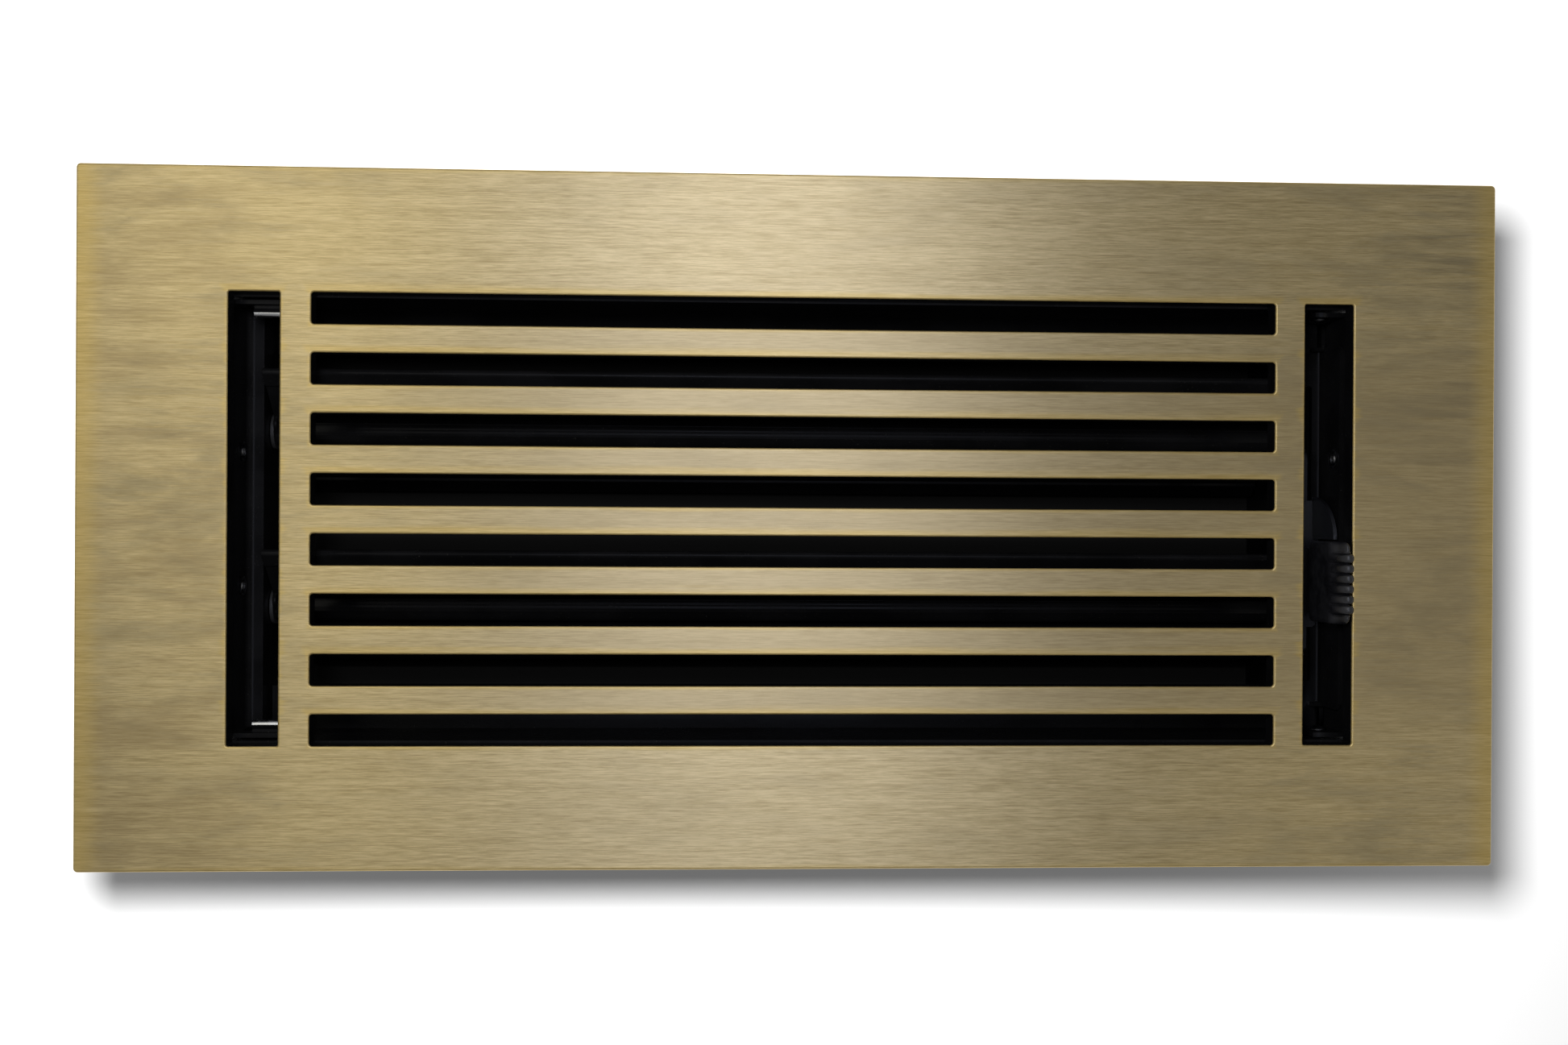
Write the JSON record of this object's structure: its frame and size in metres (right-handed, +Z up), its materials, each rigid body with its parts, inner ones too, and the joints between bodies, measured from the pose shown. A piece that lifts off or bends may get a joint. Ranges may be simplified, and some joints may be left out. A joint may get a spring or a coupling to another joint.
{
  "type": "floor register",
  "caption": "Rectangular slotted air register with a flat brass-finish cover plate and a black two-blade damper box worked by a sliding thumb knob.",
  "frame": {"origin": "middle of the cover plate's underside, in the plane that lies on the floor round the duct opening", "axes": "+X along the plate towards the knob, +Y across it towards the rear, +Z up out of the duct"},
  "size_m": [0.2986, 0.146, 0.0532],
  "materials": {
    "antique_brass": "brushed along the length and aged, with bare bright edges",
    "black_steel": "smooth black paint, semi-gloss",
    "black_plastic": "satin moulded",
    "zinc_steel": "zinc plated",
    "dark_zinc": "blackened",
    "nylon": "moulded"
  },
  "bodies": {
    "frame": {"face_plate": "antique_brass", "rear_rail": "black_steel", "front_rail": "black_steel", "left_end_wall": "black_steel", "right_end_wall": "black_steel", "corner_rivet_front_left": "dark_zinc", "box_screw_front_left": "zinc_steel", "end_eyelet_front_left": "zinc_steel", "corner_rivet_rear_left": "dark_zinc", "box_screw_rear_left": "zinc_steel", "end_eyelet_rear_left": "zinc_steel", "end_bracket_left": "black_steel", "bracket_screw_left": "zinc_steel", "corner_rivet_front_right": "dark_zinc", "box_screw_front_right": "zinc_steel", "end_eyelet_front_right": "zinc_steel", "corner_rivet_rear_right": "dark_zinc", "box_screw_rear_right": "zinc_steel", "end_eyelet_rear_right": "zinc_steel", "end_bracket_right": "black_steel", "bracket_screw_right": "zinc_steel", "pivot_bush_front_left": "nylon", "pivot_bush_rear_left": "nylon", "pivot_bush_front_right": "nylon", "pivot_bush_rear_right": "nylon"},
    "lever": {"lever_slider": "black_steel", "lever_knob": "black_plastic"},
    "blade_rear": {"blade_rear": "black_steel", "pivot_pin_rear_left": "dark_zinc", "pivot_pin_rear_right": "dark_zinc", "crank_arm_rear": "black_steel", "crank_pin_rear": "dark_zinc"},
    "blade_front": {"blade_front": "black_steel", "pivot_pin_front_left": "dark_zinc", "pivot_pin_front_right": "dark_zinc", "crank_arm_front": "black_steel", "crank_pin_front": "dark_zinc"},
    "link": {"link_bar": "black_steel", "drive_pin": "dark_zinc"}
  },
  "joints": [
    {"name": "lever_slide", "type": "slide", "parent": "frame", "child": "lever", "axis": [0, 1, 0], "range_m": [-0.0116, 0.0244]},
    {"name": "blade_rear_hinge", "type": "hinge", "parent": "frame", "child": "blade_rear", "pos_m": [0, 0.0195, -0.0235], "axis": [1, 0, 0], "range_deg": [-49, 23.4]},
    {"name": "blade_front_hinge", "type": "hinge", "parent": "frame", "child": "blade_front", "pos_m": [0, -0.0195, -0.0235], "axis": [1, 0, 0], "range_deg": [-49, 23.4]},
    {"name": "link_hinge", "type": "hinge", "parent": "blade_rear", "child": "link", "pos_m": [0, 0.02849, -0.02306], "axis": [1, 0, 0], "range_deg": [-23.4, 49]}
  ],
  "couplings": [
    {"joint": "blade_rear_hinge", "follows": "lever_slide", "rad_per_m": -34.907},
    {"joint": "blade_front_hinge", "follows": "lever_slide", "rad_per_m": -34.907},
    {"joint": "link_hinge", "follows": "lever_slide", "rad_per_m": 34.907}
  ]
}
